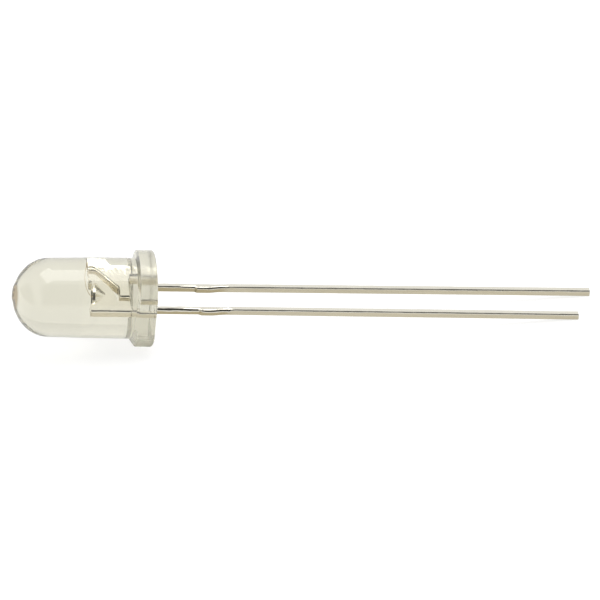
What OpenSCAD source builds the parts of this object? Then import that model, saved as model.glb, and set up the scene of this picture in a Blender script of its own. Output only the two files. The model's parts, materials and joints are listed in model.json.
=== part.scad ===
// Round 5 mm light-emitting diode with two long leads, lying at rest.
// It is drawn along its own axis first: X runs from the dome to the lead tips
// with X = 0 on the seating face of the flange, Y runs across the two leads
// with the anode on the plus side, and Z is square to the lead frame.
// lay_down() then turns it on to the rim of its flange and its two lead tips.

/* [Lens] */
// Diameter of the straight part of the barrel
barrel_d = 5; // [4.8:0.05:5.4]
// How much the barrel's radius shrinks between its straight part and the dome
barrel_draft = 0.06; // [0.02:0.01:0.15]
// Height above the seating face up to which the barrel is straight
straight_h = 3.4; // [2.4:0.1:4.4]
// Height of the tip of the dome above the seating face
lens_h = 8.65; // [8:0.05:10]
// Height of the dome alone
dome_h = 2.23; // [1.9:0.01:2.35]
// Radius of the dome's edge as a share of the dome's height
dome_edge = 0.93; // [0.6:0.01:0.94]

/* [Flange] */
// Diameter of the flange
flange_d = 5.96; // [5.7:0.02:6.4]
// Height of the flange's rim
flange_h = 1.05; // [0.8:0.05:1.2]
// Height of the shoulder between the flange and the barrel where it is lowest
shoulder_low = 0.12; // [0.06:0.02:0.2]
// Height of the same shoulder on the other side, where the mould leaves it heaviest
shoulder_high = 0.38; // [0.22:0.02:0.44]
// Distance from the axis to the flat that marks the cathode
flat_dist = 2.52; // [2.4:0.02:2.76]

/* [Leads] */
// Distance between the centres of the two leads
lead_pitch = 2.54; // [2.4:0.02:2.6]
// Thickness of the lead sheet, and side of the square leads
lead_t = 0.4; // [0.34:0.02:0.46]
// Radius of the long edges of the leads
lead_edge_r = 0.06; // [0.03:0.01:0.1]
// Length of the anode lead below the seating face
anode_len = 27.6; // [18:0.1:34]
// Length of the cathode lead below the seating face
cathode_len = 26.5; // [17:0.1:33]
// Angle by which each lead leans outwards below its stubs, in degrees
lead_splay = 0.18; // [0:0.02:0.6]
// Chamfer around the sheared ends of the leads
tip_chamfer = 0.06; // [0.02:0.01:0.12]
// Distance from the seating face to the stubs of the cut tie bar
stub_from = 2.75; // [1.5:0.05:5]
// Length of the stubs along the lead
stub_len = 1.5; // [0.8:0.05:2]
// How far the stubs stand out of the lead on the cathode side
stub_out = 0.11; // [0.05:0.01:0.2]
// How far the stubs stand out of the lead on the anode side
stub_back = 0.02; // [0.01:0.01:0.2]

/* [Lead frame in the lens] */
// Width across the outer edges of the lead frame
frame_w = 3; // [2.94:0.02:3.1]
// Height of the tops of the lead frame above the seating face
frame_h = 4; // [3.6:0.05:4.4]
// Height above the seating face at which the leads widen
foot_from = 1.48; // [1.3:0.02:1.6]
// Height of the post's foot alone
foot_h = 0.68; // [0.4:0.02:0.76]
// How far the post's foot reaches past the axis
foot_reach = 0.16; // [0.1:0.02:0.3]
// Distance from the axis to the inner edge of the post at the top of its foot
neck_in = 0.46; // [0.4:0.02:0.6]
// Distance from the axis to the inner edge of the post's tip
tip_in = 1.34; // [1.26:0.02:1.4]
// Distance from the axis to the outer edge of the post's tip
tip_out = 1.8; // [1.7:0.02:1.9]
// Length of the straight stretch below the top of the post
tip_straight = 0.5; // [0.3:0.02:0.6]
// Gap between the post's tip and the anvil
tip_gap = 0.18; // [0.12:0.01:0.24]
// Gap between the post and the anvil below the tip
frame_gap = 0.32; // [0.26:0.02:0.38]

/* [Reflector cup] */
// Outside diameter of the cup's rim
cup_d = 1.3; // [1.16:0.02:1.5]
// How far the cup's rim lies below the tops of the lead frame
rim_drop = 0.16; // [0.1:0.02:0.24]
// Gap between the cup and each side of the notch that it sits in
notch_gap = 0.1; // [0.06:0.02:0.14]
// Width of the cup's flat rim
cup_wall = 0.14; // [0.1:0.01:0.2]
// Height of the straight collar below the rim
collar_h = 0.18; // [0.1:0.02:0.26]
// Height of the cone below the collar
cone_h = 0.9; // [0.7:0.05:1.1]
// Depth of the cup
cup_depth = 0.42; // [0.36:0.02:0.5]
// Diameter of the cup's floor
cup_floor_d = 0.56; // [0.5:0.02:0.64]

/* [Die and wire] */
// Side of the square light-emitting die
die_w = 0.3; // [0.2:0.01:0.32]
// Height of the die
die_h = 0.16; // [0.1:0.02:0.22]
// Diameter of the pad of silver adhesive under the die
pad_d = 0.47; // [0.46:0.01:0.49]
// Thickness of that pad
pad_t = 0.03; // [0.02:0.01:0.05]
// Diameter of the bond wire
wire_d = 0.024; // [0.02:0.002:0.04]
// Diameter of the flattened ball and stitch at the wire's ends
bond_d = 0.09; // [0.07:0.01:0.12]
// Thickness of the ball and the stitch
bond_t = 0.03; // [0.02:0.01:0.04]
// How high the wire loops up from its two ends
loop_h = 0.36; // [0.3:0.02:0.7]

/* [Hidden] */
overlap = 0.05;      // how far a cut runs past the face it opens
round_facets = 96;
small_facets = 48;
hull_facets = 32;
wire_rings = 20;
wire_sides = 8;

// The barrel starts inside the shoulder.
barrel_foot = flange_h + shoulder_low / 2;

// The dome is two tangent arcs: a small one round its edge, a large one over its tip.
dome_r = barrel_d / 2 - barrel_draft;
dome_foot = lens_h - dome_h;
edge_r = dome_edge * dome_h;
edge_out = dome_r - edge_r;
tip_r = (edge_out * edge_out + dome_h * dome_h - edge_r * edge_r) / (2 * (dome_h - edge_r));
tip_centre = lens_h - tip_r;
arc_angle = atan2(edge_out, dome_foot - tip_centre);

// Outline of the lead frame: heights above the seating face and places across.
foot_top = foot_from + foot_h;
outer = frame_w / 2;
slope_top = frame_h - tip_straight;
slope_bend = slope_top - 0.35 * (slope_top - foot_top);
bend_in = neck_in + 0.7 * (tip_in - neck_in);
flare_from = foot_top + 0.25 * (frame_h - foot_top);
flare_to = foot_top + 0.5 * (frame_h - foot_top);
anvil_tip = tip_in - tip_gap;
anvil_waist = foot_top + 1.2 * frame_gap;
waist_across = neck_in - 0.25 * frame_gap;
anvil_corner = foot_top + 0.3 * frame_gap;

// The leads leave the lens straight, and lean outwards from the middle of their stubs.
knee = stub_from + stub_len / 2;

// Places along the axis of the cup, the die and the wire's two ends.
rim_top = frame_h - rim_drop;
collar_foot = rim_top - collar_h;
cup_floor = rim_top - cup_depth;
die_foot = cup_floor + pad_t;
die_top = die_foot + die_h;
stitch_across = (tip_in + tip_out) / 2;
wire_from = [die_top + bond_t / 2, 0];
wire_to = [frame_h + bond_t / 2, stitch_across];

// At rest the flange's rim and the lower edges of both lead tips touch the ground.
anode_touch = anode_len - tip_chamfer;
cathode_touch = cathode_len - tip_chamfer;
edge_across = lead_t / 2 - lead_edge_r;
anode_across = lead_pitch / 2 + (anode_touch - knee) * sin(lead_splay) - edge_across;
cathode_across = -lead_pitch / 2 - (cathode_touch - knee) * sin(lead_splay) - edge_across;
lean = (anode_touch - cathode_touch) / (anode_across - cathode_across);
pitch_down = atan2(flange_d / 2 - lead_t / 2, anode_touch - lean * anode_across);
roll_over = asin(lean * tan(pitch_down));
mid_length = (lens_h - anode_len) / 2 * cos(pitch_down);

module lay_down() {
    translate([mid_length, 0, flange_d / 2 * cos(pitch_down)])
        rotate([0, pitch_down, 0])
            rotate([roll_over, 0, 0])
                children();
}

// A solid of revolution about X: the children are drawn with radius to the right, height up.
module about_axis(facets = round_facets) {
    rotate([0, -90, 0])
        rotate_extrude($fn = facets)
            children();
}

// A round or conical piece about X, from height h1 to h2 above the seating face.
module round_piece(h1, h2, r1, r2, facets = small_facets) {
    translate([-h1, 0, 0])
        rotate([0, -90, 0])
            cylinder(h = h2 - h1, r1 = r1, r2 = r2, $fn = facets);
}

// A piece stamped from the lead sheet: the outline has height first, across second.
module stamping(outline) {
    translate([0, 0, -lead_t / 2])
        linear_extrude(lead_t)
            polygon([for (p = outline) [-p[0], p[1]]]);
}

module dome_profile() {
    tangent = [tip_r * sin(arc_angle), tip_centre + tip_r * cos(arc_angle)];
    intersection() {
        translate([0, tip_centre])
            circle(r = tip_r, $fn = round_facets);
        polygon([[0, tip_centre], tangent + (tangent - [0, tip_centre]), [0, lens_h + tip_r]]);
    }
    intersection() {
        translate([edge_out, dome_foot])
            circle(r = edge_r, $fn = round_facets);
        polygon([[edge_out, dome_foot], [dome_r + overlap, dome_foot],
                 [dome_r + overlap, lens_h], tangent + [0, lens_h - tangent[1]], tangent]);
    }
    polygon([[0, tip_centre], [0, dome_foot], [edge_out, dome_foot], tangent]);
}

module lens_outside() {
    round_piece(0, flange_h, flange_d / 2, flange_d / 2, round_facets);
    shoulder();
    about_axis()
        polygon([[0, barrel_foot], [barrel_d / 2, barrel_foot], [barrel_d / 2, straight_h],
                 [dome_r, dome_foot], [0, dome_foot]]);
    about_axis()
        dome_profile();
}

// The sloping shoulder ends on a leaning circle round the barrel.
module shoulder() {
    lean_angle = asin((shoulder_high - shoulder_low) / barrel_d);
    hull() {
        round_piece(flange_h - overlap, flange_h, flange_d / 2, flange_d / 2, hull_facets);
        translate([-flange_h - (shoulder_low + shoulder_high) / 2, 0, 0])
            rotate([0, lean_angle, 0])
                round_piece(-overlap / 2, 0, barrel_d / 2, barrel_d / 2, hull_facets);
    }
}

// Everything on the cathode side of the flat, over the height of the flange.
module flat_cut() {
    reach = flange_d / 2;
    translate([-flange_h - shoulder_high - overlap, -flat_dist - reach, -reach])
        cube([flange_h + shoulder_high + 2 * overlap, reach, 2 * reach]);
}

// One lead below its foot: side is 1 for the anode's, which leans the other way.
module lead_bar(length, side) {
    start = -foot_from - overlap;
    translate([0, side * lead_pitch / 2, 0]) {
        lead_stretch(start, knee);
        translate([knee, 0, 0])
            rotate([0, 0, side * lead_splay])
                intersection() {
                    lead_stretch(0, length - knee);
                    lead_end(length - knee);
                    rotate([90, 0, 0])
                        lead_end(length - knee);
                }
        translate([stub_from, -lead_t / 2 - stub_out, -lead_t / 2])
            cube([stub_len, lead_t + stub_out + stub_back, lead_t]);
    }
}

module lead_stretch(from, to) {
    translate([from, 0, 0])
        rotate([90, 0, 90])
            linear_extrude(to - from)
                rounded_square(lead_t, lead_edge_r);
}

module rounded_square(side, r) {
    inner = side - 2 * r;
    square([side, inner], center = true);
    square([inner, side], center = true);
    for (a = [-1, 1], b = [-1, 1])
        translate([a * inner / 2, b * inner / 2])
            circle(r = r, $fn = small_facets);
}

// Side view of a lead with its end chamfered, as a prism that is wider than the lead.
module lead_end(length) {
    half = lead_t / 2;
    translate([0, 0, -lead_t])
        linear_extrude(2 * lead_t)
            polygon([[-overlap, -half], [length - tip_chamfer, -half],
                     [length, tip_chamfer - half], [length, half - tip_chamfer],
                     [length - tip_chamfer, half], [-overlap, half]]);
}

module anode_shape() {
    lead_bar(anode_len, 1);
    stamping([[foot_from, outer], [flare_from, outer], [flare_to, tip_out],
              [frame_h, tip_out], [frame_h, tip_in], [slope_top, tip_in],
              [slope_bend, bend_in], [foot_top, neck_in], [foot_top, -foot_reach],
              [foot_from, -foot_reach]]);
}

module cathode_shape() {
    foot_in = -foot_reach - frame_gap;
    notch = cup_d / 2 + notch_gap;
    difference() {
        union() {
            lead_bar(cathode_len, -1);
            stamping([[foot_from, -outer], [frame_h, -outer], [frame_h, -notch],
                      [rim_top, -notch], [rim_top, notch], [frame_h, notch],
                      [frame_h, anvil_tip], [slope_top, anvil_tip],
                      [slope_bend, bend_in - frame_gap], [anvil_waist, waist_across],
                      [anvil_corner, foot_in], [foot_from, foot_in]]);
            round_piece(collar_foot, rim_top, cup_d / 2, cup_d / 2);
            round_piece(collar_foot - cone_h, collar_foot, lead_t / 4, cup_d / 2);
        }
        cup_hollow();
    }
}

// The dish of the reflector, cut a little past the rim.
module cup_hollow() {
    mouth_r = cup_d / 2 - cup_wall;
    floor_r = cup_floor_d / 2;
    past_r = mouth_r + (mouth_r - floor_r) * overlap / cup_depth;
    round_piece(cup_floor, rim_top + overlap, floor_r, past_r);
}

module pad_shape() {
    round_piece(cup_floor, die_foot, pad_d / 2, pad_d / 2);
}

module die_shape() {
    translate([-die_top, -die_w / 2, -die_w / 2])
        cube([die_h, die_w, die_w]);
}

// The wire's loop is a Bezier curve in the plane of the lead frame.
function loop_point(t) =
    let (up = [loop_h, 0],
         over = (wire_to - wire_from) * 0.25,
         p1 = wire_from + up * 1.3,
         p2 = wire_to + up - [0, over[1]])
    pow(1 - t, 3) * wire_from + 3 * t * pow(1 - t, 2) * p1
        + 3 * t * t * (1 - t) * p2 + pow(t, 3) * wire_to;

function loop_ring(i) =
    let (t = i / (wire_rings - 1),
         step = 0.001,
         ahead = loop_point(min(t + step, 1)) - loop_point(max(t - step, 0)),
         side = [-ahead[1], ahead[0]] / norm(ahead),
         c = loop_point(t))
    [for (k = [0:wire_sides - 1])
        let (a = 360 * k / wire_sides,
             p = c + side * cos(a) * wire_d / 2)
        [-p[0], p[1], sin(a) * wire_d / 2]];

module wire_shape() {
    n = wire_sides;
    last = (wire_rings - 1) * n;
    polyhedron(
        points = [for (i = [0:wire_rings - 1]) each loop_ring(i)],
        faces = concat(
            [[for (k = [0:n - 1]) k]],
            [for (i = [0:wire_rings - 2], k = [0:n - 1])
                [i * n + k, (i + 1) * n + k, (i + 1) * n + (k + 1) % n, i * n + (k + 1) % n]],
            [[for (k = [n - 1:-1:0]) last + k]]));
    round_piece(die_top, die_top + bond_t, bond_d / 2, bond_d / 2);
    translate([0, stitch_across, 0])
        round_piece(frame_h, frame_h + bond_t, bond_d / 2, bond_d / 2);
}

module epoxy_lens() {
    color([0.86, 0.87, 0.82, 0.35])
        lay_down()
            difference() {
                lens_outside();
                flat_cut();
                anode_shape();
                cathode_shape();
                pad_shape();
                die_shape();
                wire_shape();
            }
}

module cathode_lead() {
    color([0.74, 0.73, 0.69])
        lay_down()
            cathode_shape();
}

module anode_lead() {
    color([0.74, 0.73, 0.69])
        lay_down()
            anode_shape();
}

module led_die() {
    color([0.32, 0.36, 0.42])
        lay_down()
            die_shape();
}

module die_attach() {
    color([0.62, 0.62, 0.6])
        lay_down()
            pad_shape();
}

module bond_wire() {
    color([0.85, 0.66, 0.3])
        lay_down()
            wire_shape();
}

epoxy_lens();
cathode_lead();
anode_lead();
led_die();
die_attach();
bond_wire();
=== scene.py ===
"""A clear round 5 mm through hole LED, lying on its flange and its two lead tips."""
import json
import math

import bmesh
import bpy
from mathutils import Matrix, Vector, geometry, noise


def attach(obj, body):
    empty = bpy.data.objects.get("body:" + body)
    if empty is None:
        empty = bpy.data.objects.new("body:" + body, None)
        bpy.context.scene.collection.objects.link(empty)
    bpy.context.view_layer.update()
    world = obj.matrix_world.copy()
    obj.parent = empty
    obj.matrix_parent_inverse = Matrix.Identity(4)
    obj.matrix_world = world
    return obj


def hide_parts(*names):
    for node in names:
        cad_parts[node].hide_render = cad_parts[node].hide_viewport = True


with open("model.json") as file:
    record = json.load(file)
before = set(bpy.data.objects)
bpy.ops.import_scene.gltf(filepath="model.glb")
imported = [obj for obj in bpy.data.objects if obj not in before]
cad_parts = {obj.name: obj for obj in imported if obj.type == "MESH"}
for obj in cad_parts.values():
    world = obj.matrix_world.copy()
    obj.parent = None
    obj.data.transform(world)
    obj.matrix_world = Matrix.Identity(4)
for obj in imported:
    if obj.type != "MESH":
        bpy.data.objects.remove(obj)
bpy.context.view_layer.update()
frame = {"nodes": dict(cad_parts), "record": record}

MM = 0.001


# ---------------------------------------------------------------- the LED's own axes

def mount(name):
    return next(m for m in frame["record"]["mounts"] if m["name"] == name)


def led_axes():
    """The matrix from the LED's own axes to the frame.

    x runs towards the lead tips, y across to the anode, and z is square to both."""
    along = Vector(mount("seating_face")["axis"]).normalized()
    across = -Vector(mount("cathode_flat")["axis"]).normalized()
    square = along.cross(across)
    turned = Matrix((along, across, square)).transposed().to_4x4()
    turned.translation = Vector(mount("seating_face")["pos_m"])
    return turned


LED = led_axes()
FROM_FRAME = LED.inverted()


def reach_of(node):
    """Lowest and highest corner of a CAD node along the LED's own axes, in millimetres."""
    points = [FROM_FRAME @ v.co for v in frame["nodes"][node].data.vertices]
    low = [min(p[i] for p in points) / MM for i in range(3)]
    high = [max(p[i] for p in points) / MM for i in range(3)]
    return low, high


LENS_LOW, LENS_HIGH = reach_of("epoxy_lens")
CATHODE_LOW, CATHODE_HIGH = reach_of("cathode_lead")
ANODE_HIGH = reach_of("anode_lead")[1]

# Sizes in millimetres. Heights count from the seating face towards the dome.

# The lens. Its shoulder is higher on one side than on the other, and its barrel is straight
# at first and then drafted. DOME_EDGE is the rounding's share of the dome's height, and
# PAINTED_SHADE_SPOT is the middle of a brown patch of painted shade on the dome's tip, as
# (across, square). Edges that bend by more than LENS_SHARP are shaded as sharp.
LENS_H = -LENS_LOW[0]
FLANGE_R = LENS_HIGH[1]
FLAT_DIST = -LENS_LOW[1]
BARREL_R = mount("barrel")["dims"]["r_mm"]
FLANGE_H = 1.05
SHOULDER_LOW = 0.12
SHOULDER_HIGH = 0.38
STRAIGHT_H = 3.4
DOME_H = 2.23
DOME_EDGE = 0.93
DRAFT = 0.06
REAR_EDGE_R = 0.12
FRONT_EDGE_R = 0.05
SHOULDER_FILLET = 0.04
LENS_SHARP = math.radians(24)
# The middle of a brown patch of painted shade on the dome's tip, for the shaded underside of the
# lead frame seen through it.
PAINTED_SHADE_SPOT = (-0.12, 0.1)

# The leads, stamped from one strip. The tie bar that joined them leaves a stub on each, which
# stands out by STUB_OUT on the cathode's side and by STUB_BACK on the anode's. Below the knee
# the leads splay.
ANODE_LEN = ANODE_HIGH[0]
CATHODE_LEN = CATHODE_HIGH[0]
LEAD_T = 0.4
LEAD_PITCH = 2.54
LEAD_IN = LEAD_PITCH / 2 - LEAD_T / 2
LEAD_OUT = LEAD_PITCH / 2 + LEAD_T / 2
LEAD_SPLAY = math.radians(0.18)
STUB_FROM = 2.75
STUB_LEN = 1.5
STUB_OUT = 0.11
STUB_BACK = 0.02
KNEE = STUB_FROM + STUB_LEN / 2
TIP_CHAMFER = 0.06
LEAD_SHARP = math.radians(26)

# What the leads turn into inside the lens: two feet, the anode's post and the cathode's anvil,
# with a slot between them that bends at two heights, and a notch in the anvil for the cup.
FRAME_H = -CATHODE_LOW[0]
FRAME_HALF = 1.5
FOOT_FROM = 1.48
FOOT_TOP = 2.16
SLOT_LOW = 3.03
SLOT_HIGH = 3.5
RIM_TOP = FRAME_H - 0.16
NOTCH_HALF = 0.75
CUP_R = 0.65
CUP_WALL = 0.14
CUP_DEPTH = 0.42
CUP_FLOOR_R = 0.28
COLLAR_H = 0.18
CONE_H = 0.78

# Corner radii of the stamping.
SHARP_R = 0.05
TIGHT_R = 0.08
TOP_R = 0.09
EASY_R = 0.2
BEND_R = 0.3


# ---------------------------------------------------------------- small helpers

def linear(text):
    """An sRGB hex colour as linear red, green, blue and alpha."""
    parts = [int(text[i:i + 2], 16) / 255 for i in (1, 3, 5)]
    return [c / 12.92 if c <= 0.04045 else ((c + 0.055) / 1.055) ** 2.4 for c in parts] + [1.0]


def add(tree, kind, settings=None, values=None, links=None):
    """Adds a node, sets its properties and its inputs, links it up, and returns its outputs."""
    made = tree.nodes.new(kind)
    for name, value in (settings or {}).items():
        setattr(made, name, value)
    for name, value in (values or {}).items():
        made.inputs[name].default_value = value
    for name, source in (links or {}).items():
        tree.links.new(source, made.inputs[name])
    return made.outputs


def new_material(name):
    made = bpy.data.materials.new(name)
    made.use_nodes = True
    made.node_tree.nodes.clear()
    return made, made.node_tree


def new_object(name, data):
    made = bpy.data.objects.new(name, data)
    bpy.context.scene.collection.objects.link(made)
    return made


def piece_from(name, shape):
    """Turns a closed bmesh into an object whose faces point outwards."""
    bmesh.ops.recalc_face_normals(shape, faces=shape.faces)
    mesh = bpy.data.meshes.new(name)
    shape.to_mesh(mesh)
    shape.free()
    return new_object(name, mesh)


def plain_mesh(drawn):
    """The mesh that an object's modifiers make. The object that they were drawn on goes."""
    bpy.context.view_layer.update()
    done = drawn.evaluated_get(bpy.context.evaluated_depsgraph_get())
    mesh = bpy.data.meshes.new_from_object(done)
    bpy.data.objects.remove(drawn)
    return mesh


def led_millimetres(tree):
    """Object coordinates turned to the LED's own axes, in millimetres."""
    place = add(tree, "ShaderNodeTexCoord")["Object"]
    turn = FROM_FRAME.to_euler()
    shift = FROM_FRAME.translation / MM
    return add(tree, "ShaderNodeMapping", values={
        "Location": shift, "Rotation": turn, "Scale": (1 / MM,) * 3},
        links={"Vector": place})["Vector"]


# ---------------------------------------------------------------- the epoxy lens

def arc(centre, radius, start, end, steps):
    """Points of an arc in a half section, as (radius, height), from start to end in degrees."""
    turns = [math.radians(start + (end - start) * i / steps) for i in range(steps + 1)]
    return [(centre[0] + radius * math.cos(a), centre[1] + radius * math.sin(a)) for a in turns]


def straight(start, end, steps):
    """Points of a straight stretch of a half section, without its last one."""
    (from_r, from_h), (to_r, to_h) = start, end
    return [(from_r + (to_r - from_r) * i / steps, from_h + (to_h - from_h) * i / steps)
            for i in range(steps)]


def lens_section():
    """Half section of the lens, from the middle of its rear face to the tip of its dome."""
    rear_step, crown, clear_of_fillet, fillet_lift = 0.06, 0.02, 0.1, 0.3
    rear_end = FLANGE_R - REAR_EDGE_R
    section = straight((0, 0), (rear_end, 0), round(rear_end / rear_step))
    section += arc((rear_end, REAR_EDGE_R), REAR_EDGE_R, -90, 0, steps=6)

    shoulder = (SHOULDER_LOW + SHOULDER_HIGH) / 2
    slope = math.degrees(math.atan2(shoulder, FLANGE_R - BARREL_R))
    front = (FLANGE_R - FRONT_EDGE_R, FLANGE_H + crown - FRONT_EDGE_R)
    section += arc(front, FRONT_EDGE_R, 0, 90 - slope, steps=6)
    fillet = (BARREL_R + SHOULDER_FILLET, FLANGE_H + shoulder + SHOULDER_FILLET * fillet_lift)
    section += arc(fillet, SHOULDER_FILLET, 270 - slope, 180, steps=5)

    dome_r = BARREL_R - DRAFT
    dome_foot = LENS_H - DOME_H
    barrel_foot = section[-1][1] + clear_of_fillet
    section += straight((BARREL_R, barrel_foot), (BARREL_R, STRAIGHT_H), steps=12)
    section += straight((BARREL_R, STRAIGHT_H), (dome_r, dome_foot), steps=16)
    edge_r = DOME_EDGE * DOME_H
    edge_out = dome_r - edge_r
    tip_r = (edge_out ** 2 + DOME_H ** 2 - edge_r ** 2) / (2 * (DOME_H - edge_r))
    tip_centre = LENS_H - tip_r
    bend = math.degrees(math.atan2(edge_out, dome_foot - tip_centre))
    section += arc((edge_out, dome_foot), edge_r, 0, 90 - bend, steps=48)
    section += arc((0, tip_centre), tip_r, 90 - bend, 90, steps=16)[1:]
    return section


def turning_tree():
    """Geometry Nodes that turn a half section round, lean the shoulder and cut the flat.

    The ring that the section runs round is all but a point, so the section's radii hold."""
    ring_r, weld = 0.0001, 0.0008
    tree = bpy.data.node_groups.new("turn_round", "GeometryNodeTree")
    tree.interface.new_socket("Section", in_out="INPUT", socket_type="NodeSocketGeometry")
    for name in ("Flat", "Lean", "Shoulder foot", "Shoulder top", "Straight end"):
        tree.interface.new_socket(name, in_out="INPUT", socket_type="NodeSocketFloat")
    tree.interface.new_socket("Facets", in_out="INPUT", socket_type="NodeSocketInt")
    tree.interface.new_socket("Material", in_out="INPUT", socket_type="NodeSocketMaterial")
    tree.interface.new_socket("Solid", in_out="OUTPUT", socket_type="NodeSocketGeometry")

    given = add(tree, "NodeGroupInput")
    ring = add(tree, "GeometryNodeCurvePrimitiveCircle", values={"Radius": ring_r},
               links={"Resolution": given["Facets"]})["Curve"]
    turned = add(tree, "GeometryNodeCurveToMesh",
                 links={"Curve": ring, "Profile Curve": given["Section"]})["Mesh"]

    place = add(tree, "GeometryNodeInputPosition")["Position"]
    x, y, z = add(tree, "ShaderNodeSeparateXYZ", links={"Vector": place})
    up, down = [add(tree, "ShaderNodeMapRange", links={
        "Value": z, "From Min": given[none], "From Max": given["Shoulder top"]})["Result"]
        for none in ("Shoulder foot", "Straight end")]
    share = add(tree, "ShaderNodeMath", {"operation": "MULTIPLY"}, links={0: up, 1: down})[0]
    slope = add(tree, "ShaderNodeMath", {"operation": "MULTIPLY"}, links={
        0: y, 1: given["Lean"]})[0]
    lifted = add(tree, "ShaderNodeMath", {"operation": "MULTIPLY_ADD"},
                 links={0: share, 1: slope, 2: z})[0]
    far_side = add(tree, "ShaderNodeMath", {"operation": "MULTIPLY"}, {1: -1.0},
                   {0: given["Flat"]})[0]
    cut = add(tree, "ShaderNodeMath", {"operation": "MAXIMUM"}, links={0: x, 1: far_side})[0]
    moved = add(tree, "ShaderNodeCombineXYZ", links={"X": cut, "Y": y, "Z": lifted})[0]
    shaped = add(tree, "GeometryNodeSetPosition", links={"Geometry": turned, "Position": moved})[0]
    closed = add(tree, "GeometryNodeMergeByDistance", values={"Distance": weld},
                 links={"Geometry": shaped})[0]
    real = add(tree, "GeometryNodeRealizeInstances", links={"Geometry": closed})[0]
    dressed = add(tree, "GeometryNodeSetMaterial",
                  links={"Geometry": real, "Material": given["Material"]})[0]
    add(tree, "NodeGroupOutput", links={"Solid": dressed})
    return tree


def raise_nub(mesh):
    """The mould leaves a low round nub on the dome, a little off its tip."""
    nub_h, nub_r, nub_edge = 0.045, 0.56, 0.12
    off_across, off_square = 0.144, 0.24
    tip_only = LENS_H - 0.6
    for v in mesh.vertices:
        if v.co.z < tip_only:
            continue
        reach = math.hypot(v.co.x - off_across, -v.co.y - off_square)
        share = min(max((nub_r - reach) / nub_edge, 0), 1)
        v.co.z += nub_h * share * share * (3 - 2 * share)


def settle_rear_face(mesh):
    """The open face of the casting sinks a little as it cures, and climbs up both leads."""
    sink, climb, climb_reach, flat_within = 0.07, 0.11, 0.13, 1e-5
    rear_end = FLANGE_R - REAR_EDGE_R
    for v in mesh.vertices:
        across, square, height = v.co.x, v.co.y, v.co.z
        radius = math.hypot(across, square)
        if height > flat_within or radius > rear_end:
            continue
        fall = sink * (1 - (radius / rear_end) ** 4)
        to_lead = max(abs(abs(across) - LEAD_PITCH / 2), abs(square)) - LEAD_T / 2
        v.co.z = fall - climb * math.exp(-max(to_lead, 0) / climb_reach)


def draw_section(section):
    """Draws a half section as a curve, ready to be turned round."""
    curve = bpy.data.curves.new("lens_section", "CURVE")
    curve.dimensions = "3D"
    line = curve.splines.new("POLY")
    line.points.add(len(section) - 1)
    for point, (radius, height) in zip(line.points, section):
        point.co = (radius, -height, 0, 1)
    return new_object("lens_section", curve)


def make_lens(material):
    """The casting, turned from its half section and then marked by the mould and by curing."""
    drawn = draw_section(lens_section())
    tree = turning_tree()
    turner = drawn.modifiers.new("turn", "NODES")
    turner.node_group = tree
    wanted = {"Flat": FLAT_DIST, "Lean": (SHOULDER_HIGH - SHOULDER_LOW) / 2 / BARREL_R,
              "Shoulder foot": FLANGE_H, "Straight end": STRAIGHT_H,
              "Shoulder top": FLANGE_H + (SHOULDER_LOW + SHOULDER_HIGH) / 2,
              "Facets": 192, "Material": material}
    for item in tree.interface.items_tree:
        if item.name in wanted:
            turner[item.identifier] = wanted[item.name]
    mesh = plain_mesh(drawn)

    settle_rear_face(mesh)
    raise_nub(mesh)
    # It was turned about z. Along the LED's own axes its dome points to -x.
    upright = Matrix(((0, 0, -1, 0), (1, 0, 0, 0), (0, -1, 0, 0), (0, 0, 0, 1)))
    mesh.transform(LED @ Matrix.Scale(MM, 4) @ upright)
    shape = bmesh.new()
    shape.from_mesh(mesh)
    bmesh.ops.recalc_face_normals(shape, faces=shape.faces)
    shape.to_mesh(mesh)
    shape.free()
    mesh.shade_smooth()
    mesh.set_sharp_from_angle(angle=LENS_SHARP)
    lens = new_object("clear_lens", mesh)
    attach(lens, "root")
    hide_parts("epoxy_lens")


# ---------------------------------------------------------------- the stamped leads

def lead_edge(length, side, edge):
    """One long edge of a lead, as corners (height, across, radius), from its foot to its tip.

    side is 1 for the anode's lead and -1 for the cathode's. edge is 1 for the edge that faces
    the anode's side, and -1 for the other. The stub rises steeply and runs out slowly."""
    bulge = edge * (STUB_BACK if edge > 0 else STUB_OUT)
    rise, fall = 0.12, 0.55
    near = side * LEAD_PITCH / 2 + edge * LEAD_T / 2
    far = near + side * (length - KNEE) * math.tan(LEAD_SPLAY)
    stub_end = STUB_FROM + STUB_LEN
    return [(-STUB_FROM, near, TIGHT_R), (-STUB_FROM - rise, near + bulge, TIGHT_R),
            (fall - stub_end, near + bulge, EASY_R), (-stub_end, near, EASY_R),
            (-length, far, TIP_CHAMFER)]


def foot_corner(side):
    """Where a lead widens to its foot on its outer side."""
    below, above = 0.04, 0.02
    return [(FOOT_FROM - below, side * LEAD_OUT, SHARP_R),
            (FOOT_FROM + above, side * FRAME_HALF, SHARP_R)]


def anode_outline():
    """The anode: a foot that reaches under the anvil, and a post that leans out to its top."""
    post_in, post_out, post_bend = 1.34, 1.8, 1.076
    flare_from, flare_to = 2.615, 3.08
    toe, instep = -0.16, 0.46
    toe_r, instep_r = 0.1, 0.14
    body = [(flare_from, FRAME_HALF, EASY_R), (flare_to, post_out, EASY_R),
            (FRAME_H, post_out, TIGHT_R), (FRAME_H, post_in, TOP_R),
            (SLOT_HIGH, post_in, BEND_R), (SLOT_LOW, post_bend, BEND_R),
            (FOOT_TOP, instep, instep_r), (FOOT_TOP, toe, toe_r),
            (FOOT_FROM, toe, TIGHT_R), (FOOT_FROM, LEAD_IN, TIGHT_R)]
    near_side, far_side = lead_edge(ANODE_LEN, 1, -1), lead_edge(ANODE_LEN, 1, 1)
    return near_side + far_side[::-1] + foot_corner(1) + body


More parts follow.
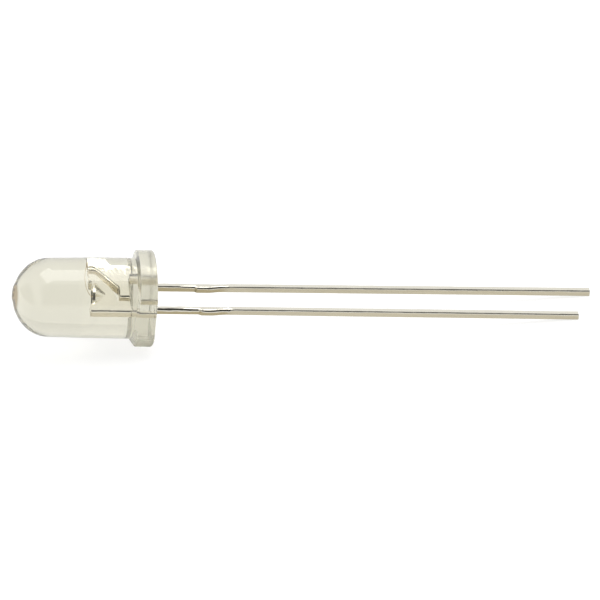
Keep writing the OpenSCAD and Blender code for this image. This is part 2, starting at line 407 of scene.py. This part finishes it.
def cathode_outline():
    """The cathode: a narrow foot, and an anvil that widens over the anode's foot to its top."""
    anvil_out, anvil_bend, anvil_waist = 1.16, 0.756, 0.38
    toe, toe_r, notch_r = -0.48, 0.1, 0.04
    toe_top, waist_h = 2.256, 2.544
    body = [(FRAME_H, -FRAME_HALF, TOP_R), (FRAME_H, -NOTCH_HALF, TOP_R),
            (RIM_TOP, -NOTCH_HALF, notch_r), (RIM_TOP, NOTCH_HALF, notch_r),
            (FRAME_H, NOTCH_HALF, TOP_R), (FRAME_H, anvil_out, TOP_R),
            (SLOT_HIGH, anvil_out, BEND_R), (SLOT_LOW, anvil_bend, BEND_R),
            (waist_h, anvil_waist, BEND_R), (toe_top, toe, toe_r),
            (FOOT_FROM, toe, TIGHT_R), (FOOT_FROM, -LEAD_IN, TIGHT_R)]
    near_side, far_side = lead_edge(CATHODE_LEN, -1, -1), lead_edge(CATHODE_LEN, -1, 1)
    return near_side[::-1] + foot_corner(-1) + body + far_side


def smooth_outline(corners):
    """Rounds the corners, and puts a point on the outline about every step."""
    step, most = 0.16, 0.45
    rounded = []
    for i, (height, across, radius) in enumerate(corners):
        here = Vector((height, across))
        before = Vector(corners[i - 1][:2]) - here
        after = Vector(corners[(i + 1) % len(corners)][:2]) - here
        back = before.normalized() * min(radius, before.length * most)
        on = after.normalized() * min(radius, after.length * most)
        for t in (0, 0.25, 0.5, 0.75, 1):
            rounded.append(here + back * (1 - t) ** 2 + on * t ** 2)
    points = []
    for i, here in enumerate(rounded):
        after = rounded[(i + 1) % len(rounded)]
        parts = max(1, round((after - here).length / step))
        points += [here.lerp(after, k / parts) for k in range(parts)]
    return points


def along_table(table, height):
    """A value between the rows (height, value) of a table that runs down the lead."""
    if height >= table[0][0]:
        return table[0][1]
    for (upper, first), (lower, last) in zip(table, table[1:]):
        if height >= lower:
            return last + (first - last) * (height - lower) / (upper - lower)
    return table[-1][1]


# The stamping die rolls the upper edges over. Each row is a height and the roll's radius there in
# millimetres, or how far round it runs in degrees. The roll is full and wide at the stubs, and
# crisp in the lens and on the long leads. It never takes more than ROLL_REACH off the upper face.
ROLL_RADIUS = ((0.0, 0.2), (-0.3, 0.17), (-1.9, 0.17), (-2.6, 0.2), (-4.3, 0.2), (-5.0, 0.13))
ROLL_TURN = ((0.0, 46), (-0.2, 66), (-1.9, 62), (-2.3, 88), (-4.5, 88), (-4.9, 52))
ROLL_REACH = 0.185


def fill(shape, ring):
    """Closes a flat ring of corners with triangles that keep inside it."""
    inside_only, near_enough = 1, 1e-6
    flat = [v.co.xy for v in ring]
    whole = range(len(ring))
    filled = geometry.delaunay_2d_cdt(flat, [], [whole], inside_only, near_enough)
    triangles, sources = filled[2], filled[3]
    for triangle in triangles:
        shape.faces.new([ring[sources[k][0]] for k in triangle])


def roll_reach(flat, way):
    """How far in a roll may run from each point of an outline, so that it never folds over.

    Tight corners leave it little room, and next to them the room grows by degrees."""
    corner_share, no_bend, growth = 0.3, 0.01, 0.5
    count = len(flat)
    gaps = [(flat[i] - flat[i - 1]).length for i in range(count)]
    reach = []
    for i, here in enumerate(flat):
        after = flat[(i + 1) % count] - here
        bend = way * (here - flat[i - 1]).normalized().cross(after.normalized())
        room = corner_share * (gaps[i] + after.length) / max(bend, no_bend)
        reach.append(min(ROLL_REACH, room))
    for i in 2 * list(range(count)):
        reach[i] = min(reach[i], reach[i - 1] + growth * gaps[i])
    for i in 2 * list(range(count))[::-1]:
        reach[i - 1] = min(reach[i - 1], reach[i] + growth * gaps[i])
    return reach


def rolled_points(flat, way, seed, roll_size):
    """For each point of an outline: its place, the way in, and its roll's radius and turn.

    A stamped edge is never quite even. The outline wavers a little and the roll varies along
    the leads, most of all between the lens and the stubs."""
    below_lens, at_stub, past_stub = -0.2, -2.3, -4.7
    waves_along, waves_across = 1.7, 4.0
    waver, size_sway, turn_sway = 0.008, 0.3, 0.35
    waver_scale, turn_scale, elsewhere = 1.9, 1.3, Vector((7, 3, 5))
    widest_mitre = 0.75
    reach = roll_reach(flat, way)
    points = []
    for i, here in enumerate(flat):
        before = (here - flat[i - 1]).normalized()
        after = (flat[(i + 1) % len(flat)] - here).normalized()
        along = (before + after).normalized()
        inside = Vector((-along.y, along.x)) * way
        spot = Vector((here.x * waves_along, here.y * waves_across, seed))
        radius = along_table(ROLL_RADIUS, here.x)
        radius *= roll_size if below_lens > here.x > past_stub else 1
        turn = math.radians(along_table(ROLL_TURN, here.x))
        if below_lens > here.x > at_stub:
            turn += turn_sway * noise.noise(spot * turn_scale)
        radius = min(radius * (1 + size_sway * noise.noise(spot)),
                     reach[i] / (1 - math.cos(turn)))
        flat[i] = here + inside * waver * noise.noise(spot * waver_scale + elsewhere)
        points.append((flat[i], inside / max(along.dot(after), widest_mitre), radius, turn))
    return points


def stamped(name, corners, seed, roll_size):
    """A plate with the outline given: upper edges rolled over, lower edges sheared sharp."""
    roll_steps, lower_r, half = 8, 0.03, LEAD_T / 2
    flat = smooth_outline(corners)
    way = math.copysign(1, sum(flat[i - 1].cross(flat[i]) for i in range(len(flat))))
    shape = bmesh.new()
    sheared = shape.verts.layers.float.new("sheared")
    columns = []
    for place, inside, radius, turn in rolled_points(flat, way, seed, roll_size):
        steps = [(lower_r, -half), (0, lower_r - half)]
        for k in range(roll_steps + 1):
            part = turn * k / roll_steps
            steps.append((radius * (1 - math.cos(part)),
                          half - radius * (math.sin(turn) - math.sin(part))))
        spots = [(place + inside * inset, lift) for inset, lift in steps]
        column = [shape.verts.new((-spot.x, spot.y, lift)) for spot, lift in spots]
        column[1][sheared] = column[2][sheared] = 1.0
        columns.append(column)
    for last, column in zip(columns[-1:] + columns, columns):
        for k in range(len(column) - 1):
            shape.faces.new((last[k], column[k], column[k + 1], last[k + 1]))
    fill(shape, [column[0] for column in columns])
    fill(shape, [column[-1] for column in columns])
    return piece_from(name, shape)


def turned_piece(name, profile):
    """A closed piece turned about the LED's axis, from (radius, height) points."""
    facets = 72
    shape = bmesh.new()
    rings = []
    for radius, height in profile:
        spots = facets if radius > 0 else 1
        rings.append([shape.verts.new((-height, radius * math.cos(math.tau * k / spots),
                                       radius * math.sin(math.tau * k / spots)))
                      for k in range(spots)])
    for lower, upper in zip(rings, rings[1:]):
        for k in range(facets):
            corners = [lower[k % len(lower)], lower[(k + 1) % len(lower)],
                       upper[(k + 1) % len(upper)], upper[k % len(upper)]]
            shape.faces.new(list(dict.fromkeys(corners)))
    return piece_from(name, shape)


def finish_lead(blank, node, material):
    """Puts a lead drawn in millimetres in its place, as the piece that replaces its node."""
    mesh = plain_mesh(blank)
    mesh.transform(LED @ Matrix.Scale(MM, 4))
    mesh.materials.clear()
    mesh.materials.append(material)
    mesh.shade_smooth()
    mesh.set_sharp_from_angle(angle=LEAD_SHARP)
    piece = new_object("plated_" + node, mesh)
    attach(piece, "root")
    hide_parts(node)


def make_leads(material):
    """Both leads. The cathode's has the cup pressed into the top of its anvil."""
    anode = stamped("anode_blank", anode_outline(), seed=1.0, roll_size=0.8)
    finish_lead(anode, "anode_lead", material)

    anvil = stamped("cathode_blank", cathode_outline(), seed=2.0, roll_size=1.3)
    collar_foot = RIM_TOP - COLLAR_H
    cone_foot = collar_foot - CONE_H
    cone_tip_r, rim_edge, past = 0.1, 0.02, 0.05
    cup = turned_piece("cup_outside", [
        (0, cone_foot), (cone_tip_r, cone_foot), (CUP_R, collar_foot),
        (CUP_R, RIM_TOP - rim_edge), (CUP_R - rim_edge, RIM_TOP), (0, RIM_TOP)])
    mouth_r = CUP_R - CUP_WALL
    past_r = mouth_r + (mouth_r - CUP_FLOOR_R) * past / CUP_DEPTH
    dish = turned_piece("cup_dish", [
        (0, RIM_TOP - CUP_DEPTH), (CUP_FLOOR_R, RIM_TOP - CUP_DEPTH), (past_r, RIM_TOP + past),
        (0, RIM_TOP + past)])
    for operation, other in (("UNION", cup), ("DIFFERENCE", dish)):
        joining = anvil.modifiers.new(operation, "BOOLEAN")
        joining.operation = operation
        joining.solver = "EXACT"
        joining.object = other
    finish_lead(anvil, "cathode_lead", material)
    for helper in (cup, dish):
        bpy.data.objects.remove(helper)


# ---------------------------------------------------------------- materials

def cast_epoxy():
    """Clear cast epoxy. The polished mould leaves it glossy, with slow waves and a breath of haze.

    It is warm through its depth. The flange stood at the mould's open end and is a little
    frosted, more on its rim than on its face, and most of all under the rim, where the roughness
    lets light out that gloss would keep in. A brown patch of painted shade sits on the tip of the
    dome: it stands in for the shaded underside of the lead frame, seen through the tip."""
    made, tree = new_material("clear_cast_epoxy")
    place = led_millimetres(tree)
    along, across, square = add(tree, "ShaderNodeSeparateXYZ", links={"Vector": place})

    # Scales are counts per millimetre: a wave is 1.1 mm long, and a cloud of haze 0.45 mm wide.
    waves, clouds, wave_height = 0.9, 2.2, 0.01 * MM
    wave = add(tree, "ShaderNodeTexNoise", values={"Scale": waves, "Detail": 2.0},
               links={"Vector": place})["Fac"]
    bump = add(tree, "ShaderNodeBump", values={"Strength": 0.25, "Distance": wave_height},
               links={"Height": wave})["Normal"]
    cloud = add(tree, "ShaderNodeTexNoise", values={"Scale": clouds, "Detail": 6.0},
                links={"Vector": place})["Fac"]
    gloss = add(tree, "ShaderNodeMapRange", values={
        "From Min": 0.3, "From Max": 0.7, "To Min": 0.02, "To Max": 0.05},
        links={"Value": cloud})["Result"]

    # The frost ends just past the shoulder. Its strength is one on the rim.
    frost_ends, frost_full, on_face = -1.6, -1.3, 0.4
    rim_from, rim_full = FLANGE_R - 0.12, FLANGE_R - 0.03
    frost = add(tree, "ShaderNodeMapRange", values={
        "From Min": frost_ends, "From Max": frost_full}, links={"Value": along})["Result"]
    level = add(tree, "ShaderNodeCombineXYZ", links={"X": across, "Y": square})[0]
    radius = add(tree, "ShaderNodeVectorMath", {"operation": "LENGTH"}, links={0: level})["Value"]
    rim = add(tree, "ShaderNodeMapRange", values={
        "From Min": rim_from, "From Max": rim_full, "To Min": on_face},
        links={"Value": radius})["Result"]
    frost = add(tree, "ShaderNodeMath", {"operation": "MULTIPLY"}, links={0: frost, 1: rim})[0]

    # Frost makes the skin rough, under the rim far more so, and hazy.
    under_from, under_full = -1.3, -1.7
    frosted, frosted_under = 0.14, 0.8
    clear, hazy = 0.94, 0.84
    under = add(tree, "ShaderNodeMapRange", values={
        "From Min": under_from, "From Max": under_full,
        "To Min": frosted, "To Max": frosted_under}, links={"Value": square})["Result"]
    rough = add(tree, "ShaderNodeMath", {"operation": "MULTIPLY_ADD"}, links={
        0: frost, 1: under, 2: gloss})[0]
    passed = add(tree, "ShaderNodeMapRange", values={"To Min": clear, "To Max": hazy},
                 links={"Value": frost})["Result"]

    # A brown patch on the dome's tip is painted shade: it stands in for the shaded underside of
    # the lead frame seen through the tip.
    shade_ends, shade_full, tip_from = 1.05, 0.75, 1.0 - LENS_H
    tip_patch = add(tree, "ShaderNodeVectorMath", {"operation": "DISTANCE"}, {1: PAINTED_SHADE_SPOT + (0,)},
               {0: level})["Value"]
    tip_patch = add(tree, "ShaderNodeMapRange", {"interpolation_type": "SMOOTHSTEP"}, {
        "From Min": shade_ends, "From Max": shade_full}, {"Value": tip_patch})["Result"]
    tip = add(tree, "ShaderNodeMath", {"operation": "LESS_THAN"}, {1: tip_from}, {0: along})[0]
    painted_shade = add(tree, "ShaderNodeMath", {"operation": "MULTIPLY"}, links={0: tip_patch, 1: tip})[0]
    tint = add(tree, "ShaderNodeMix", {"data_type": "RGBA"}, {
        6: linear("#F2F0E3"), 7: linear("#957F5E")}, {0: painted_shade})[2]
    skin = add(tree, "ShaderNodeBsdfPrincipled", values={"IOR": 1.54}, links={
        "Base Color": tint, "Normal": bump, "Roughness": rough,
        "Transmission Weight": passed})["BSDF"]
    depth = add(tree, "ShaderNodeVolumeAbsorption", values={
        "Color": linear("#E8E6D6"), "Density": 80.0})["Volume"]
    add(tree, "ShaderNodeOutputMaterial", links={"Surface": skin, "Volume": depth})
    return made


def lead_plating():
    """Steel strip, plated and then stamped: bright silver in the lens, a tin dip outside it.

    Rolling left fine lines along the strip, and the plate ripples over them. The sheared sides
    are duller than the faces, and past the stubs the faces are as dull. The sheared sides are also
    painted darker and yellower, most of all near the stubs: partly their own duller finish, and
    partly painted shade for the shaded floor in front that they face."""
    made, tree = new_material("silver_and_tin_plated_steel")
    place = led_millimetres(tree)

    # Scales are counts per millimetre. Real rolling lines are too fine to show, so these are
    # drawn 0.1 mm apart and 1.7 mm long. A ripple is 0.6 mm long.
    lines_along, lines_across, ripples = 0.6, 9.0, 1.6
    line_share, ripple_height = 0.35, 0.03 * MM
    stretched = add(tree, "ShaderNodeMapping", values={
        "Scale": (lines_along, lines_across, lines_across)}, links={"Vector": place})["Vector"]
    lines = add(tree, "ShaderNodeTexNoise", values={"Scale": 1.0, "Detail": 5.0},
                links={"Vector": stretched})["Fac"]
    ripple = add(tree, "ShaderNodeTexNoise", values={"Scale": ripples, "Detail": 3.0},
                 links={"Vector": place})["Fac"]
    surface = add(tree, "ShaderNodeMath", {"operation": "MULTIPLY_ADD"}, {1: line_share},
                  {0: lines, 2: ripple})[0]
    bump = add(tree, "ShaderNodeBump", values={"Strength": 0.5, "Distance": ripple_height},
               links={"Height": surface})["Normal"]

    # Outside the lens, beyond the stub, and near the stub, which is what lies between.
    along = add(tree, "ShaderNodeSeparateXYZ", links={"Vector": place})["X"]
    outside, beyond = [
        add(tree, "ShaderNodeMapRange", {"interpolation_type": "SMOOTHSTEP"}, {
            "From Min": none, "From Max": full}, {"Value": along})["Result"]
        for none, full in ((-0.1, 0.1), (4.2, 5.0))]
    near_stub = add(tree, "ShaderNodeMath", {"operation": "SUBTRACT"}, links={
        0: outside, 1: beyond})[0]
    sheared = add(tree, "ShaderNodeAttribute", {"attribute_name": "sheared"})["Fac"]

    # The sheared sides' colour is partly their own duller finish and partly painted shade, darkest
    # near the stubs, for the shaded floor in front that they face.
    silver, tin, shorn_and_shaded = [
        add(tree, "ShaderNodeMix", {"data_type": "RGBA"}, {
            6: linear(first), 7: linear(second)}, {0: share})[2]
        for first, second, share in (("#FBF9F4", "#F6F3EC", lines), ("#E1DED3", "#D1CDBF", lines),
                                     ("#E9E3D4", "#CFC4A8", near_stub))]
    plated = add(tree, "ShaderNodeMix", {"data_type": "RGBA"}, links={
        0: outside, 6: silver, 7: tin})[2]
    tone = add(tree, "ShaderNodeMix", {"data_type": "RGBA", "blend_type": "MULTIPLY"}, links={
        0: sheared, 6: plated, 7: shorn_and_shaded})[2]

    dullness = 0.2
    gloss = add(tree, "ShaderNodeMapRange", values={
        "From Min": 0.3, "From Max": 0.7, "To Min": 0.05, "To Max": 0.11},
        links={"Value": lines})["Result"]
    dull = add(tree, "ShaderNodeMath", {"operation": "MAXIMUM"}, links={0: beyond, 1: sheared})[0]
    rough = add(tree, "ShaderNodeMath", {"operation": "MULTIPLY_ADD"}, {1: dullness},
                {0: dull, 2: gloss})[0]
    skin = add(tree, "ShaderNodeBsdfPrincipled", values={"Metallic": 1.0},
               links={"Base Color": tone, "Normal": bump, "Roughness": rough})["BSDF"]
    add(tree, "ShaderNodeOutputMaterial", links={"Surface": skin})
    return made


def grained_metal(name, colour, roughness):
    """A small metallic piece with a grain 0.03 mm across in two tones of one colour."""
    made, tree = new_material(name)
    grains, shade = 30.0, 0.7
    light = linear(colour)
    dark = [c * shade for c in light[:3]] + [1.0]
    place = led_millimetres(tree)
    grain = add(tree, "ShaderNodeTexNoise", values={"Scale": grains, "Detail": 3.0},
                links={"Vector": place})["Fac"]
    tone = add(tree, "ShaderNodeMix", {"data_type": "RGBA"}, {6: light, 7: dark}, {0: grain})[2]
    skin = add(tree, "ShaderNodeBsdfPrincipled", values={"Metallic": 1.0, "Roughness": roughness},
               links={"Base Color": tone})["BSDF"]
    add(tree, "ShaderNodeOutputMaterial", links={"Surface": skin})
    return made


def dress(node, material):
    """Gives a CAD node that stays in view its finish."""
    for slot in frame["nodes"][node].material_slots:
        slot.material = material


# ---------------------------------------------------------------- floor, light and camera

def white_paper():
    """Matt paper that keeps a soft shadow.

    Seen straight it is lifted to white, and metal and gloss show it pale grey."""
    made, tree = new_material("white_paper")
    path = add(tree, "ShaderNodeLightPath")
    straight_on, second_hand = [
        add(tree, "ShaderNodeMath", {"operation": "MULTIPLY"}, {1: strength}, {0: path[ray]})[0]
        for ray, strength in (("Is Camera Ray", 0.75), ("Is Glossy Ray", 0.59))]
    lift = add(tree, "ShaderNodeMath", {"operation": "MAXIMUM"},
               links={0: straight_on, 1: second_hand})[0]
    glow = add(tree, "ShaderNodeEmission", values={"Color": linear("#FFFFFF")},
               links={"Strength": lift})[0]
    paper = add(tree, "ShaderNodeBsdfDiffuse", values={"Color": linear("#A8A8A8")})[0]
    both = add(tree, "ShaderNodeAddShader", links={0: glow, 1: paper})[0]
    add(tree, "ShaderNodeOutputMaterial", links={"Surface": both})
    return made


def make_floor():
    """A round floor, 4 m across."""
    shape = bmesh.new()
    bmesh.ops.create_circle(shape, cap_ends=True, segments=64, radius=2.0)
    mesh = bpy.data.meshes.new("floor")
    shape.to_mesh(mesh)
    shape.free()
    mesh.materials.append(white_paper())
    floor = new_object("floor", mesh)


def make_world():
    """A white room, brighter overhead, dark behind the camera and ahead of the dome."""
    world = bpy.data.worlds.new("studio")
    bpy.context.scene.world = world
    world.use_nodes = True
    tree = world.node_tree
    tree.nodes.clear()
    heading = add(tree, "ShaderNodeTexCoord")["Generated"]
    x, y, z = add(tree, "ShaderNodeSeparateXYZ", links={"Vector": heading})
    middle, lit, unlit = 0.12, 1.0, 0.06
    aside = add(tree, "ShaderNodeMath", {"operation": "SUBTRACT"}, {1: middle}, {0: x})[0]
    aside = add(tree, "ShaderNodeMath", {"operation": "ABSOLUTE"}, links={0: aside})[0]

    # Each part of the dark: where it begins, and where it is full. The gap behind the camera is
    # narrow, near and raised. The other dark part is ahead of the dome.
    narrow, near, raised, ahead = [
        add(tree, "ShaderNodeMapRange", {"interpolation_type": "SMOOTHSTEP"}, {
            "From Min": none, "From Max": full}, {"Value": way})["Result"]
        for way, none, full in ((aside, 0.75, 0.45), (y, -0.25, -0.45), (z, 0.0, 0.25),
                                (x, -0.8, -0.92))]
    gap = add(tree, "ShaderNodeMath", {"operation": "MULTIPLY"}, links={0: narrow, 1: near})[0]
    gap = add(tree, "ShaderNodeMath", {"operation": "MULTIPLY"}, links={0: gap, 1: raised})[0]
    dark = add(tree, "ShaderNodeMath", {"operation": "MAXIMUM"}, links={0: gap, 1: ahead})[0]

    walls = add(tree, "ShaderNodeMapRange", values={
        "From Min": 0.0, "From Max": 0.4, "To Min": 0.93, "To Max": 1.07},
        links={"Value": z})["Result"]
    open_part = add(tree, "ShaderNodeMapRange", values={"To Min": lit, "To Max": unlit},
                    links={"Value": dark})["Result"]
    level = add(tree, "ShaderNodeMath", {"operation": "MULTIPLY"}, links={
        0: walls, 1: open_part})[0]
    camera = add(tree, "ShaderNodeLightPath")["Is Camera Ray"]
    shown = add(tree, "ShaderNodeMath", {"operation": "MAXIMUM"}, links={0: level, 1: camera})[0]
    sky = add(tree, "ShaderNodeBackground", values={"Color": linear("#FFFFFF")},
              links={"Strength": shown})[0]
    add(tree, "ShaderNodeOutputWorld", links={"Surface": sky})


def make_softbox():
    """One large soft lamp overhead, over the far side of the lens. Its light is even."""
    place, turn, width, depth, radiance = Vector((-0.011, 0.138, 0.8)), 27, 0.53, 0.64, 2.2
    lamp = bpy.data.lights.new("softbox", "AREA")
    lamp.shape = "RECTANGLE"
    lamp.size, lamp.size_y = width, depth
    lamp.energy = radiance * math.pi * width * depth
    box = new_object("softbox", lamp)
    box.location = place
    box.rotation_euler = (0, 0, math.radians(turn))


def make_camera():
    """A long lens that looks down on the cathode's side of the LED, from 0.46 m."""
    turn, rise, roll = math.radians(-6.374), math.radians(31.225), math.radians(-1.057)
    distance, aim_right, aim_up = 0.46085, -0.0002935, 0.001723
    focal_length, sensor, nearest, furthest = 446.5, 36, 0.05, 5
    back = Vector((math.sin(turn) * math.cos(rise), -math.cos(turn) * math.cos(rise),
                   math.sin(rise)))
    right = Vector((math.cos(turn), math.sin(turn), 0))
    up = back.cross(right)
    right, up = (math.cos(roll) * right + math.sin(roll) * up,
                 math.cos(roll) * up - math.sin(roll) * right)
    data = bpy.data.cameras.new("camera")
    data.lens = focal_length
    data.sensor_width = sensor
    data.clip_start, data.clip_end = nearest, furthest
    camera = new_object("camera", data)
    stand = Matrix((right, up, back)).transposed().to_4x4()
    stand.translation = back * distance + right * aim_right + up * aim_up
    camera.matrix_world = stand
    bpy.context.scene.camera = camera


# ---------------------------------------------------------------- put together

make_camera()
make_floor()
make_world()
make_softbox()
bpy.context.scene.view_settings.view_transform = "Standard"

make_lens(cast_epoxy())
make_leads(lead_plating())

# A diced crystal is dark and slaty with a shine, an adhesive full of silver flake is pale and
# matt, and drawn gold wire is bright and warm.
dress("led_die", grained_metal("gallium_nitride_die", "#55606E", 0.3))
dress("die_attach", grained_metal("silver_adhesive", "#A8A8A4", 0.6))
dress("bond_wire", grained_metal("gold_wire", "#EACB8E", 0.2))
